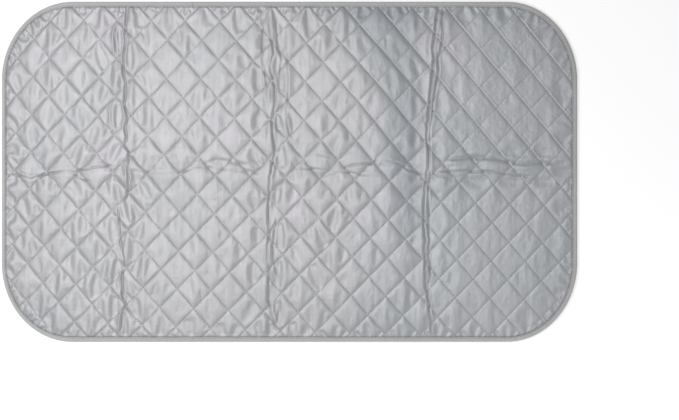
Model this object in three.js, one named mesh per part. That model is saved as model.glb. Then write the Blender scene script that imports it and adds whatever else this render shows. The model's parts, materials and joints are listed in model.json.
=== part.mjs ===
import * as THREE from "three";

// Ironing pad: a quilted mat of silver-coated cloth, batting and backing cloth, bound with a folded
// tape and stored folded on three lines across its width. Millimetres, +Z up, on the table at Z zero.
// The origin is under the middle of the pad, and +X runs along its length.

// Outline of the pad, over the binding
const padLength = 850;
const padWidth = 450;
const cornerRadius = 90;
const cornerSteps = 10;

// The fold lines, as shares of the length from the left end, and the slit that parts two panels there
const foldShares = [0.215, 0.469, 0.747];
const foldGap = 0.3;

// Layers, from the table up
const clothThickness = 0.4;
const layGap = 0.3;
const boundPadding = 0.5;
const crownRise = 2;

// Quilting: the spacing of the stitch lines, how far they are turned from the diagonals, and the
// crossing of two lines that is nearest the middle of the pad
const lineSpacing = 35.6;
const quiltTurn = THREE.MathUtils.degToRad(-1.65);
const crossingX = -8.5;
const crossingY = -7.4;

// Form of one quilted diamond: the flat top of its crown as a share of its outline, and the share of a
// whole diamond above which a cut one still has a flat top
const crownShare = 0.5;
const wholeShare = 0.95;

// Binding tape: the width of each leg, its thickness, how far the folded edge bulges out past the
// layers, and the steps of that round edge. The quilting starts at a margin past the tape.
const tapeWidth = 6;
const tapeThickness = 0.4;
const tapeBulge = 1.2;
const bulgeSteps = 4;
const fieldMargin = 2;

// Heights worked out from the layers, with the padding thinner inside the binding than in the field
const backingTop = clothThickness;
const battingBottom = backingTop + layGap;
const boundBackingBottom = tapeThickness + layGap;
const boundBackingTop = boundBackingBottom + clothThickness;
const boundBattingBottom = boundBackingTop + layGap;
const battingSeam = boundBattingBottom + boundPadding;
const coverBottom = battingSeam + layGap;
const coverSeam = coverBottom + clothThickness;
const upperLegBottom = coverSeam + layGap;
const tapeTop = upperLegBottom + tapeThickness;

// Insets from the outline: where the layers end, where they clear the legs, and the quilted field
const layerInset = tapeBulge + layGap;
const legInset = tapeWidth + layGap;
const fieldInset = tapeWidth + fieldMargin;

// Two corner points are one where they agree to this many decimals of a millimetre
const samePlaceDecimals = 4;
const samePlace = 10 ** -samePlaceDecimals;

// A closed body, gathered from triangles whose corners are shared
class Body {
  constructor() {
    this.numbers = new Map();
    this.places = [];
    this.indices = [];
  }

  corner(point) {
    const key = point.toArray().map((value) => value.toFixed(samePlaceDecimals)).join(" ");
    if (!this.numbers.has(key)) {
      this.numbers.set(key, this.numbers.size);
      this.places.push(point.x, point.y, point.z);
    }
    return this.numbers.get(key);
  }

  // A triangle, turned so that it faces along the outward direction
  triangle(a, b, c, outward) {
    const normal = b.clone().sub(a).cross(c.clone().sub(a));
    const corners = normal.dot(outward) > 0 ? [a, b, c] : [a, c, b];
    const [first, second, third] = corners.map((point) => this.corner(point));
    if (first !== second && second !== third && third !== first) this.indices.push(first, second, third);
  }

  quad(a, b, c, d, outward) {
    this.triangle(a, b, c, outward);
    this.triangle(a, c, d, outward);
  }

  // The inside of a closed line of points, seen along one of the three axes
  fill(points, outward, seen) {
    const flat = points.map(seen);
    for (const [i, j, k] of THREE.ShapeUtils.triangulateShape(flat, [])) {
      this.triangle(points[i], points[j], points[k], outward);
    }
  }

  geometry() {
    const geometry = new THREE.BufferGeometry();
    geometry.setAttribute("position", new THREE.Float32BufferAttribute(this.places, 3));
    geometry.setIndex(this.indices);
    geometry.computeVertexNormals();
    return geometry;
  }
}

const up = new THREE.Vector3(0, 0, 1);
const down = new THREE.Vector3(0, 0, -1);
const fromAbove = (point) => new THREE.Vector2(point.x, point.y);
const fromTheEnd = (point) => new THREE.Vector2(point.y, point.z);
const atHeight = (point, z) => new THREE.Vector3(point.x, point.y, z);

// The outline of the pad moved in by an inset: a rectangle with round corners, anticlockwise
function outline(inset) {
  const centreX = padLength / 2 - cornerRadius;
  const centreY = padWidth / 2 - cornerRadius;
  const sides = [[1, 1], [-1, 1], [-1, -1], [1, -1]];
  return sides.flatMap(([alongX, alongY], side) => {
    const points = [];
    for (let step = 0; step <= cornerSteps; step += 1) {
      const angle = (side + step / cornerSteps) * Math.PI / 2;
      const x = alongX * centreX + (cornerRadius - inset) * Math.cos(angle);
      const y = alongY * centreY + (cornerRadius - inset) * Math.sin(angle);
      points.push(new THREE.Vector2(x, y));
    }
    return points;
  });
}

// A point of one inset outline, moved square to the edge onto another
function moved(point, fromInset, toInset) {
  const centreX = padLength / 2 - cornerRadius;
  const centreY = padWidth / 2 - cornerRadius;
  const core = new THREE.Vector2(
    THREE.MathUtils.clamp(point.x, -centreX, centreX),
    THREE.MathUtils.clamp(point.y, -centreY, centreY),
  );
  const share = (cornerRadius - toInset) / (cornerRadius - fromInset);
  return fromAbove(point).sub(core).multiplyScalar(share).add(core);
}

// The part of a polygon on the left of the line from one point to another
function cutByLine(polygon, from, to) {
  const side = (point) => (to.x - from.x) * (point.y - from.y) - (to.y - from.y) * (point.x - from.x);
  const kept = [];
  polygon.forEach((point, index) => {
    const next = polygon[(index + 1) % polygon.length];
    const here = side(point);
    const there = side(next);
    if (here >= 0) kept.push(point);
    if ((here > 0 && there < 0) || (here < 0 && there > 0)) {
      kept.push(point.clone().lerp(next, here / (here - there)));
    }
  });
  return kept;
}

// The part of a polygon between the fold lines of a panel
function cutToPanel(polygon, panel) {
  const lines = [[panel.foldOnLeft, panel.left, -padWidth], [panel.foldOnRight, panel.right, padWidth]];
  return lines.reduce((kept, [folds, x, y]) => (
    folds ? cutByLine(kept, new THREE.Vector2(x, 0), new THREE.Vector2(x, y)) : kept
  ), polygon);
}

// The four panels, each with its ends and whether each end is a fold line
function panels() {
  const folds = foldShares.map((share) => (share - 1 / 2) * padLength);
  const lefts = [-padLength / 2, ...folds.map((fold) => fold + foldGap / 2)];
  const rights = [...folds.map((fold) => fold - foldGap / 2), padLength / 2];
  return lefts.map((left, index) => ({
    left,
    right: rights[index],
    foldOnLeft: index > 0,
    foldOnRight: index < folds.length,
  }));
}

// Whether the edge of a panel's polygon between two points lies on one of its fold lines
function onFold(panel, a, b) {
  const near = (value, line) => Math.abs(value - line) < samePlace;
  const left = panel.foldOnLeft && near(a.x, panel.left) && near(b.x, panel.left);
  return left || (panel.foldOnRight && near(a.x, panel.right) && near(b.x, panel.right));
}

// The bound edges of a panel at an inset, as open lines of points. An end panel has one, round two
// corners, and a middle panel has two, along the front and the back.
function boundLines(panel, inset) {
  const polygon = cutToPanel(outline(inset), panel);
  const start = polygon.findIndex((point, index) => {
    const before = polygon[(index + polygon.length - 1) % polygon.length];
    return onFold(panel, before, point);
  });
  const ordered = [...polygon.slice(start), ...polygon.slice(0, start)];
  const lines = [[]];
  ordered.forEach((point, index) => {
    const next = ordered[(index + 1) % ordered.length];
    lines[lines.length - 1].push(point);
    if (onFold(panel, point, next) && index < ordered.length - 1) lines.push([]);
  });
  return lines.filter((line) => line.length > 1);
}

// The quilted cells of a panel: whole diamonds, and the cut ones along its edges
function quiltCells(panel) {
  const field = cutToPanel(outline(fieldInset), panel);
  const middleOfPad = new THREE.Vector2();
  const oneLineOn = new THREE.Vector2(lineSpacing, 0);
  const rising = oneLineOn.clone().rotateAround(middleOfPad, Math.PI / 4 + quiltTurn);
  const falling = oneLineOn.clone().rotateAround(middleOfPad, -Math.PI / 4 + quiltTurn);
  const first = new THREE.Vector2(crossingX, crossingY);
  const crossing = (i, j) => first.clone().addScaledVector(rising, i).addScaledVector(falling, j);
  const reach = Math.ceil((padLength + padWidth) / 2 / lineSpacing);
  const cells = [];
  for (let i = -reach; i < reach; i += 1) {
    for (let j = -reach; j < reach; j += 1) {
      const diamond = [crossing(i, j), crossing(i, j + 1), crossing(i + 1, j + 1), crossing(i + 1, j)];
      const corners = field.reduce(
        (polygon, from, index) => cutByLine(polygon, from, field[(index + 1) % field.length]),
        diamond,
      );
      if (corners.length > 2) cells.push(corners);
    }
  }
  return cells;
}

function middleOf(polygon) {
  return polygon.reduce((sum, point) => sum.add(point), new THREE.Vector2()).divideScalar(polygon.length);
}

// The rise of a cell's crown: less for a small cell cut by the edge, which has less room to swell
function riseOf(cell) {
  const share = THREE.ShapeUtils.area(cell) / lineSpacing ** 2;
  return crownRise * Math.sqrt(Math.min(1, share));
}

// One face of the quilted field. A cell rises from its stitch lines to a flat crown, and a cut one, or
// any cell of a plain face, rises to a point.
function quiltedFace(body, cells, seam, crowned, outward) {
  for (const cell of cells) {
    const middle = middleOf(cell);
    const top = seam + riseOf(cell);
    const whole = THREE.ShapeUtils.area(cell) > wholeShare * lineSpacing ** 2;
    const crown = cell.map((point) => middle.clone().lerp(point, crownShare));
    cell.forEach((point, index) => {
      const following = (index + 1) % cell.length;
      const low = atHeight(point, seam);
      const lowNext = atHeight(cell[following], seam);
      if (crowned && whole) {
        body.quad(low, lowNext, atHeight(crown[following], top), atHeight(crown[index], top), outward);
      } else {
        body.triangle(low, lowNext, atHeight(middle, top), outward);
      }
    });
    if (crowned && whole) body.fill(crown.map((point) => atHeight(point, top)), outward, fromAbove);
  }
}

// The corners of the cells that lie on a straight line between two points, in order along it
function cornersBetween(cells, from, to) {
  const span = to.clone().sub(from);
  const found = new Map();
  for (const point of cells.flat()) {
    const away = point.clone().sub(from);
    const share = away.dot(span) / span.lengthSq();
    const off = Math.abs(away.cross(span)) / span.length();
    const inside = share * span.length() > samePlace && (1 - share) * span.length() > samePlace;
    if (off < samePlace && inside) found.set(Math.round(share * span.length() / samePlace), point);
  }
  return [...found.values()].sort((a, b) => a.distanceTo(from) - b.distanceTo(from));
}

function withCellCorners(line, cells) {
  return line.flatMap((point, index) => {
    if (index === line.length - 1) return [point];
    return [point, ...cornersBetween(cells, point, line[index + 1])];
  });
}

// The flat margin between the quilted field and the ends of the layers
function quiltedMargin(body, panel, cells, height, outward) {
  for (const line of boundLines(panel, fieldInset)) {
    const outer = line.map((point) => moved(point, fieldInset, layerInset));
    const loop = [...withCellCorners(line, cells), ...outer.reverse()];
    body.fill(loop.map((point) => atHeight(point, height)), outward, fromAbove);
  }
}

// A plain face: flat in the field, stepped up over the lower leg of the tape, and flat to its end
function steppedFace(body, panel, fieldHeight, boundHeight, outward) {
  const field = cutToPanel(outline(fieldInset), panel);
  body.fill(field.map((point) => atHeight(point, fieldHeight)), outward, fromAbove);
  for (const line of boundLines(panel, fieldInset)) {
    const steps = [[fieldInset, fieldHeight], [legInset, boundHeight], [layerInset, boundHeight]];
    const rows = steps.map(([inset, height]) => (
      line.map((point) => atHeight(moved(point, fieldInset, inset), height))
    ));
    for (const row of [0, 1]) {
      for (let index = 0; index < line.length - 1; index += 1) {
        const [low, high] = [rows[row], rows[row + 1]];
        body.quad(low[index], low[index + 1], high[index + 1], high[index], outward);
      }
    }
  }
}

// The wall round the bound edge of a layer
function boundWall(body, panel, bottom, top) {
  for (const line of boundLines(panel, fieldInset)) {
    const edge = line.map((point) => moved(point, fieldInset, layerInset));
    edge.slice(1).forEach((point, index) => {
      const before = edge[index];
      const outward = new THREE.Vector3(point.y - before.y, before.x - point.x, 0);
      const corners = [atHeight(before, bottom), atHeight(point, bottom), atHeight(point, top)];
      body.quad(...corners, atHeight(before, top), outward);
    });
  }
}

// The wall of a layer on each fold line, between the front and back ends of its two faces
function foldWalls(body, panel, lowerLine, upperLine) {
  const sides = [[panel.foldOnLeft, panel.left, -1], [panel.foldOnRight, panel.right, 1]];
  for (const [folds, x, facing] of sides) {
    if (folds) {
      const loop = [...lowerLine(x), ...upperLine(x).reverse()];
      body.fill(loop, new THREE.Vector3(facing, 0, 0), fromTheEnd);
    }
  }
}

// The section of a quilted face on a fold line, and of a stepped one, from front to back
function quiltedLine(cells, height) {
  return (x) => {
    const ends = [-1, 1].map((side) => new THREE.Vector2(x, side * (padWidth / 2 - fieldInset)));
    const inner = [ends[0], ...cornersBetween(cells, ends[0], ends[1]), ends[1]];
    const outer = [-1, 1].map((side) => new THREE.Vector2(x, side * (padWidth / 2 - layerInset)));
    return [outer[0], ...inner, outer[1]].map((point) => atHeight(point, height));
  };
}

function steppedLine(fieldHeight, boundHeight) {
  return (x) => {
    const steps = [[layerInset, boundHeight], [legInset, boundHeight], [fieldInset, fieldHeight]];
    const half = (side) => steps.map(([inset, height]) => (
      new THREE.Vector3(x, side * (padWidth / 2 - inset), height)
    ));
    return [...half(-1), ...half(1).reverse()];
  };
}

// The top cover: a thin quilted cloth, alike above and below
function topCover(panel, cells) {
  const body = new Body();
  for (const [height, outward] of [[coverSeam, up], [coverBottom, down]]) {
    quiltedFace(body, cells, height, true, outward);
    quiltedMargin(body, panel, cells, height, outward);
  }
  boundWall(body, panel, coverBottom, coverSeam);
  foldWalls(body, panel, quiltedLine(cells, coverBottom), quiltedLine(cells, coverSeam));
  return body.geometry();
}

// The batting: drawn down along every stitch line, swelling between them, flat below
function batting(panel, cells) {
  const body = new Body();
  quiltedFace(body, cells, battingSeam, false, up);
  quiltedMargin(body, panel, cells, battingSeam, up);
  steppedFace(body, panel, battingBottom, boundBattingBottom, down);
  boundWall(body, panel, boundBattingBottom, battingSeam);
  foldWalls(body, panel, steppedLine(battingBottom, boundBattingBottom), quiltedLine(cells, battingSeam));
  return body.geometry();
}

// The backing: a cloth that lies flat on the table and steps up over the tape
function backing(panel) {
  const body = new Body();
  steppedFace(body, panel, backingTop, boundBackingTop, up);
  steppedFace(body, panel, 0, boundBackingBottom, down);
  boundWall(body, panel, boundBackingBottom, boundBackingTop);
  foldWalls(body, panel, steppedLine(0, boundBackingBottom), steppedLine(backingTop, boundBackingTop));
  return body.geometry();
}

// The section of the folded tape, as insets and heights: round at the fold, with two flat legs
function tapeSection() {
  const middle = tapeTop / 2;
  const bend = (depth, height) => {
    const points = [];
    for (let step = 0; step <= bulgeSteps; step += 1) {
      const angle = (step / bulgeSteps - 1 / 2) * Math.PI;
      points.push([tapeBulge - depth * Math.cos(angle), middle + height * Math.sin(angle)]);
    }
    return points;
  };
  const outside = bend(tapeBulge, middle);
  const inside = bend(tapeBulge - tapeThickness, middle - tapeThickness).reverse();
  const legs = [[tapeWidth, tapeTop], [tapeWidth, upperLegBottom]];
  return [...outside, ...legs, ...inside, [tapeWidth, tapeThickness], [tapeWidth, 0]];
}

// One length of the binding tape, folded over the edge along a bound line of the outline
function binding(line) {
  const body = new Body();
  const section = tapeSection();
  const around = (point) => section.map(([inset, height]) => atHeight(moved(point, 0, inset), height));
  const rings = line.map(around);
  for (let ring = 0; ring < rings.length - 1; ring += 1) {
    section.forEach((_, index) => {
      const next = (index + 1) % section.length;
      const [a, b] = [rings[ring][index], rings[ring][next]];
      const [c, d] = [rings[ring + 1][next], rings[ring + 1][index]];
      const outward = d.clone().sub(a).cross(b.clone().sub(a));
      body.quad(a, b, c, d, outward);
    });
  }
  for (const [end, inner] of [[rings.at(0), rings.at(1)], [rings.at(-1), rings.at(-2)]]) {
    body.fill(end, end[0].clone().sub(inner[0]), fromTheEnd);
  }
  return body.geometry();
}

// Finishes
const finish = (color, roughness, metalness) =>
  new THREE.MeshStandardMaterial({ color, roughness, metalness });
const silverCloth = () => finish(0xb4b5ba, 0.42, 0.3);
const whiteBatting = () => finish(0xe9e8e4, 0.95, 0);
const greyBacking = () => finish(0xa9abae, 0.9, 0);
const wovenTape = () => finish(0xbfc0c2, 0.8, 0);

const pad = new THREE.Group();

function add(name, geometry, material) {
  const mesh = new THREE.Mesh(geometry, material);
  mesh.name = name;
  pad.add(mesh);
}

panels().forEach((panel, index) => {
  const number = index + 1;
  const cells = quiltCells(panel);
  add(`top_cover_${number}`, topCover(panel, cells), silverCloth());
  add(`batting_${number}`, batting(panel, cells), whiteBatting());
  add(`backing_${number}`, backing(panel), greyBacking());
  const lines = boundLines(panel, 0);
  lines.forEach((line) => {
    const place = line[0].y < 0 ? "front" : "back";
    const name = lines.length > 1 ? `binding_${number}_${place}` : `binding_${number}`;
    add(name, binding(line), wovenTape());
  });
});

export default pad;
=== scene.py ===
import json
import math

import bpy
import numpy as np
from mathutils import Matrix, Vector


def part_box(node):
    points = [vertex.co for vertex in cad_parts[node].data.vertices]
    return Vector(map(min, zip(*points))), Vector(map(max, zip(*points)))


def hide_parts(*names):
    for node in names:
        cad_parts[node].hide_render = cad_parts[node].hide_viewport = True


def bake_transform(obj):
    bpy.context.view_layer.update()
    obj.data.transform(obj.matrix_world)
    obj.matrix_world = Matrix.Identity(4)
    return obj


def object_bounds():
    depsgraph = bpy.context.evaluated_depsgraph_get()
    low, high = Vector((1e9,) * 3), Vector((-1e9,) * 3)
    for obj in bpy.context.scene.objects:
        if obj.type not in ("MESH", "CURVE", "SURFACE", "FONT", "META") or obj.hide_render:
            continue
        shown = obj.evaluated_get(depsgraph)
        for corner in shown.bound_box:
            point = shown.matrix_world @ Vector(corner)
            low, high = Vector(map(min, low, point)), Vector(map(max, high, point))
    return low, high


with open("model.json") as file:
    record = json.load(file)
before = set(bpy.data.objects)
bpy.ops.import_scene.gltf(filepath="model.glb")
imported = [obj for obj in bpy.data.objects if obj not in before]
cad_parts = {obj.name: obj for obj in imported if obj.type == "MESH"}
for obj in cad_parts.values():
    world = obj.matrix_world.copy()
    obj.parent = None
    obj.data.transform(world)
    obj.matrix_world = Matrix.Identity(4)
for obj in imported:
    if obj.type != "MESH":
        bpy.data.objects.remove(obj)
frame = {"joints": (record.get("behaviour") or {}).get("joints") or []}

cad_low, cad_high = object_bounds()

MM = 0.001
SEED = 20

# Sizes that the frame gives
LENGTH = cad_high.x - cad_low.x
WIDTH = cad_high.y - cad_low.y
JOINTS = {joint["name"]: joint for joint in frame["joints"]}
FOLD_X = [JOINTS[name]["pos_m"][0] for name in ("fold_left", "fold_middle", "fold_right")]
TAPE_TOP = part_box("binding_1")[1].z
COVER_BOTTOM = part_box("top_cover_2")[0].z

# Sizes of the outline and the binding tape, and how the tape's edge wanders and puckers
CORNER = 104 * MM
LAYER_INSET = 1.6 * MM
TAPE_WIDTH = 6 * MM
TAPE_THICKNESS = 0.4 * MM
TAPE_BULGE = 2.3 * MM
TAPE_STEP = 1.2 * MM
TAPE_WANDER = 0.25 * MM
TAPE_WANDER_STEP = 9 * MM
TAPE_PUCKER = 0.07 * MM
TAPE_PUCKERS = (0.4, 0.85)
TAPE_LIES_ON = 5 * MM
TAPE_TURN_STEPS = 8

# The quilting lines. Each family is straight lines of one spacing at one angle, numbered from the
# first. They bow by small shares of the spacing, with the place's squares and cubes as bow() says,
# and the falling lines are also pushed a little to the right at one place.
RISING = {"angle": 42.973, "side": -1, "spacing": 36.258 * MM, "first": 0.065,
          "bow": (0.081, -0.034, -0.037, -0.151, 0.125), "drift": 0.0}
FALLING = {"angle": 46.478, "side": 1, "spacing": 36.500 * MM, "first": 0.258,
           "bow": (-0.046, -0.020, -0.007, 0.176, 0.114), "drift": -0.07}
BOW_X = 400 * MM
BOW_Y = 200 * MM
BOW_REACH = 1.15
DRIFT_PLACE = (125 * MM, 105 * MM)
DRIFT_REACH = 65 * MM
LINE_RANGE = 14
CROSSING_STEPS = 12

# Heights of the cloth: at the stitch lines, how far the padding swells, and the groove at a seam with
# the lip that shows beside it at the back right
SEAM_TOP = COVER_BOTTOM + 0.5 * MM
SEAM_UNDER = 0.9 * MM
SWELL = 0.8 * MM
SWELL_LEAST, SWELL_VARIES = 0.7, 0.6
SWELLS_WITHIN = 11 * MM
TILT = 1.2 * MM
PLATEAU = 3.0
UNDER_PLATEAU = 0.7
GROOVE = 0.45 * MM
GROOVE_WIDTH = 1.6 * MM
GROOVE_LEAST, GROOVE_IF_TAUT = 0.7, 0.3
LIP = 0.35 * MM
LIP_PLACE = 2.4 * MM
LIP_WIDTH = 1.1 * MM
STITCH_DIMPLE = 0.07 * MM
DIMPLE_WIDTH = 1.3 * MM
SEAM_SHADE_WIDTH = 0.9 * MM
CLEAR_OF_TAPE = 3 * MM

# Gathers beside the tape, and the heights of the two cloths where the tape binds them
GATHER = 0.32 * MM
GATHER_STEPS = ((5.5 * MM, 0.5, 1.0), (2.6 * MM, 3.5, 0.6))
GATHER_REACH = 6 * MM
GATHER_START = 1.5 * MM
BOUND_TOP = 2.6 * MM
BOUND_UNDER = 0.75 * MM
BOUND_REACH = 2.5 * MM

# Creases: how deep and wide the strands below are made, how they fade beyond and before their ends,
# the valley's shape, the shoulders beside it, how they press the backing, and the depth of full painted shade
CREASE_DEPTH = 1.2
CREASE_WIDTH = 0.85
DEEPEST_CREASE = 1.8 * MM
CREASE_FADE = (6 * MM, 8 * MM)
CREASE_SHARPNESS = 1.6
SHOULDER = {"place": 2.6, "width": 1.3, "height": 0.38}
CREASE_WANDER = 0.8 * MM
WANDER_STEPS = (7 * MM, 8 * MM)
WANDER_LENGTH = 60 * MM
NEAR_FOLD = 60 * MM
NEAR_LONG_FOLD = 45 * MM
CREASE_UNDER = 0.5
HIGHEST_UNDER = 0.3 * MM
CREASE_SHADE_DEPTH = 0.8 * MM

# The broad shape's unevenness, and streaks along the warp: sizes along and across the pad, and shares
BROAD_CHANGE = 0.2
BROAD_PATCH = (180 * MM, 120 * MM)
STREAKS = 0.3 * MM
WIDE_STREAK = (26 * MM, 150 * MM)
NARROW_STREAK = (13 * MM, 60 * MM)
NARROW_SHARE = 0.9
STREAKS_FROM_EDGE = 40 * MM
RISES_WITHIN = 70 * MM
EDGE_SHARE = 0.25

# Zones of the pad where the cloth changes, or where shade is painted on its coating: the most that it changes
# by, and the places along and across the pad, in millimetres from its middle, where the change starts and is
# complete
ZONES = {
    "corner": (1, (60, 150), (-60, 60)),
    "past_left_fold": (0.2, (-250, -200), None),
    "past_right_fold": (0.45, (195, 250), None),
    "less_tilt": (0.5, (20, 120), None),
    "quiet_panel": (0.85, (185, 235), None),
    "weak_fold": (0.6, (100, 200), None),
    "wrinkled_end": (1, (-100, -380), None),
    # The next three zones paint shade into the coating's colour
    "right_panel_shade": (0.35, (190, 235), (-180, 40)),
    "back_edge_shade": (0.45, (10, 70), (175, 212)),
    "left_end_shade": (0.25, (-290, -380), None),
    # The next two zones paint a bluer shade into the coating's colour on the right, less of it at the back
    "painted_blue_shade": (1, (60, 170), None),
    "less_painted_blue_shade": (0.65, None, (-60, 150)),
}

# In the corner at the back right the rising lines, tilts and wrinkles show less. Puckers are least at
# the front right, and full from the second place on the way to the back left.
WEAK_RISING = 0.7
WEAK_WRINKLES = 0.5
LEAST_PUCKER = 0.4
PUCKER_PLACES = (-40 * MM, 240 * MM)

# The band of painted shade in the coating's colour: its middle, half width and how much it widens to the back
# edge, and the shares of the way to that edge where it starts
BAND_CENTRE = 173 * MM
BAND_HALF = 25 * MM
BAND_WIDENS = 30 * MM
BAND_STARTS = (-0.75, 0.1)

# The padding inside: how far it fills the space under the cover, its gap above the backing, how it
# keeps clear of creases, and the pad's least and greatest thickness
BATTING_FILL = 0.4
BATTING_GAP = 0.3 * MM
BATTING_CREASE = 1.1
BATTING_CREASE_REACH = 3 * MM
THINNEST = 1.1 * MM
HIGHEST = 6.35 * MM

# Stitches, and the shape of each kind: the shares of its length that get a ring of points, the rings'
# heights over the cloth in millimetres and their widths, and the corners of a ring
STITCH_PITCH = 4.8 * MM
STITCH_LENGTH = 4.1 * MM
TAPE_STITCH_SHARE = 0.9
THREAD_RADIUS = 0.24 * MM
TAPE_STITCH_INSET = 4.8 * MM
TAPE_STITCH_TOP, TAPE_STITCH_UNDER = TAPE_TOP - 0.02 * MM, 0.3 * MM
STITCH_CLEARANCE = 0.6 * MM
FIVE_RINGS = {"shares": (0, 0.16, 0.5, 0.84, 1), "widths": (0.7, 1, 1, 1, 0.7), "sides": 6}
NEEDLE_STITCH = {**FIVE_RINGS, "rises": (-0.5, 0.12, 0.2, 0.12, -0.5)}
TAPE_STITCH = {**FIVE_RINGS, "rises": (-0.35, 0.05, 0.1, 0.05, -0.35)}
BOBBIN_STITCH = {"shares": (0, 0.2, 0.8, 1), "widths": (0.7, 1, 1, 0.7), "sides": 4,
                 "rises": (-0.4, 0.1, 0.1, -0.4)}

# A leg of the folded tape from its edge to the bend: how far in each point is, and how much it sinks
TAPE_LEG = [(TAPE_WIDTH, 0.30 * MM), (TAPE_WIDTH - 0.25 * MM, 0.16 * MM), (TAPE_STITCH_INSET, 0.30 * MM),
            (3.9 * MM, 0.06 * MM), (3.0 * MM, 0)]
TAPE_INNER_SINKS = 0.3

# Where the pieces of a layer meet, inside the two middle panels
SPLITS = (-142 * MM, 142 * MM)

# Steps of the cloth meshes: distances from a seam that get a row of points, and the even rows between
NEAR_SEAM = (0, 0.5, 1.1, 1.9, 3.0)
COVER_ROWS = 10
BACKING_ROWS = 5
BATTING_ROWS = 4

# The wrinkles' simulation: steps across a cell, frames in all and until the patches are pressed in,
# how firmly the padding holds them, and how much more cloth there is than room: everywhere, near a
# fold, at the left and beside the tape
SIM_STEPS = 12
SIM_FRAMES = 14
PRESS_FRAMES = 8
SIM_UNEVENNESS = 0.12 * MM
UNEVEN_PATCH = (9 * MM, 16 * MM)
UNEVEN_GRAIN = 0.4
HELD_BESIDE_TAPE = 0.5 * MM
PADDING_HOLD = 0.12
WRINKLE_LIMIT = 1.2 * MM
WRINKLE_TURN = 0.5
SPARE_CLOTH = 0.007
SPARE_LEAST, SPARE_VARIES = 0.25, 1.5
SPARE_AT_FOLD = 0.022
SPARE_AT_LEFT = 0.006
SPARE_AT_TAPE = 0.05
SPARE_REACH = 16 * MM
SPARE_TAPE_REACH = 7 * MM
LONG_FOLD_SHARE = 0.6
QUIET_PLACE = -110 * MM
QUIET_REACH = 70 * MM
QUIET_SHARE = 0.35

random = np.random.default_rng(SEED)


def smooth(low, high, value):
    """0 below low, 1 above high, and a smooth step between."""
    share = np.clip((value - low) / (high - low), 0, 1)
    return share * share * (3 - 2 * share)


NOISE_SIZE = 256
noise_table = random.uniform(-1, 1, (4, NOISE_SIZE, NOISE_SIZE))


def noise(x, y, layer=0):
    """Smooth random values from -1 to 1 that change over about one unit of x and y."""
    table = noise_table[layer]
    column, row = np.floor(x).astype(int), np.floor(y).astype(int)
    across, along = x - column, y - row
    across = across ** 3 * (across * (across * 6 - 15) + 10)
    along = along ** 3 * (along * (along * 6 - 15) + 10)
    corner = [table[(column + i) % NOISE_SIZE, (row + j) % NOISE_SIZE] for i in (0, 1) for j in (0, 1)]
    near = corner[0] * (1 - along) + corner[1] * along
    far = corner[2] * (1 - along) + corner[3] * along
    return near * (1 - across) + far * across


def noise_along(place, step, row, layer):
    """Smooth random values along a line, other ones for each row of a layer."""
    return noise(place / step, place * 0 + row, layer)


# The outline

CORE_X = LENGTH / 2 - CORNER
CORE_Y = WIDTH / 2 - CORNER


def edge_distance(x, y):
    """How far each point is inside the pad's outline."""
    past_x, past_y = np.abs(x) - CORE_X, np.abs(y) - CORE_Y
    outside = np.hypot(np.maximum(past_x, 0), np.maximum(past_y, 0))
    return CORNER - outside - np.minimum(np.maximum(past_x, past_y), 0)


def core_place(x, y):
    """The nearest place on the rectangle between the centres of the round corners."""
    return np.clip(x, -CORE_X, CORE_X), np.clip(y, -CORE_Y, CORE_Y)


def edge_place(x, y):
    """The distance round the outline of the place nearest to each point, anticlockwise."""
    core_x, core_y = core_place(x, y)
    angle = np.arctan2(y - core_y, x - core_x)
    return core_y * np.cos(angle) - core_x * np.sin(angle) + CORNER * angle


def outline_points(step):
    """Points on the outline about one step apart, with the direction inwards at each."""
    points, inwards = [], []
    for side in range(4):
        start_angle = side * math.pi / 2
        along_x, along_y = [(1, 1), (-1, 1), (-1, -1), (1, -1)][side]
        turns = max(2, round(CORNER * math.pi / 2 / step))
        for turn in range(turns + 1):
            angle = start_angle + turn / turns * math.pi / 2
            way = np.array([math.cos(angle), math.sin(angle)])
            points.append(np.array([along_x * CORE_X, along_y * CORE_Y]) + CORNER * way)
            inwards.append(-way)
        straight = 2 * (CORE_X if side in (0, 2) else CORE_Y)
        steps = round(straight / step)
        heading = np.array([-math.sin(angle), math.cos(angle)])
        for _ in range(1, steps):
            points.append(points[-1] + heading * straight / steps)
            inwards.append(-way)
    return np.array(points), np.array(inwards)


def lengths_along(points):
    """How far each point is from the first, along the line of points."""
    return np.concatenate([[0], np.cumsum(np.linalg.norm(np.diff(points, axis=0), axis=1))])


# The quilting lines

def family_matrix(family):
    """What a point's x and y are multiplied by for its place across a family's lines."""
    angle = math.radians(family["angle"])
    return np.array([family["side"] * math.sin(angle), math.cos(angle)]) / family["spacing"]


LINES = np.array([family_matrix(RISING), family_matrix(FALLING)])
HALF_CELL = (RISING["spacing"] + FALLING["spacing"]) / 4
PLACES = np.linalg.inv(LINES)


def bow(family, x, y):
    """The share of a spacing that a family's lines are off the even and straight ones at a point."""
    u = np.clip(x / BOW_X, -BOW_REACH, BOW_REACH)
    v = np.clip(y / BOW_Y, -BOW_REACH, BOW_REACH)
    terms = (u * u, u * v, v * v, u ** 3, u * u * v)
    away = ((x - DRIFT_PLACE[0]) ** 2 + (y - DRIFT_PLACE[1]) ** 2) / DRIFT_REACH ** 2
    bowed = sum(share * term for share, term in zip(family["bow"], terms))
    return family["first"] + bowed + family["drift"] * np.exp(-away)


def line_numbers(x, y):
    """The number of the rising and the falling line through each point: whole on a stitch line."""
    rising = LINES[0, 0] * x + LINES[0, 1] * y + bow(RISING, x, y)
    falling = LINES[1, 0] * x + LINES[1, 1] * y + bow(FALLING, x, y)
    return rising, falling


def place_of(rising, falling):
    """The point where two lines cross, found from their numbers by a few corrections."""
    x, y = np.zeros_like(rising), np.zeros_like(rising)
    for _ in range(CROSSING_STEPS):
        a, b = rising - bow(RISING, x, y), falling - bow(FALLING, x, y)
        x, y = PLACES[0, 0] * a + PLACES[0, 1] * b, PLACES[1, 0] * a + PLACES[1, 1] * b
    return x, y


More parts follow.
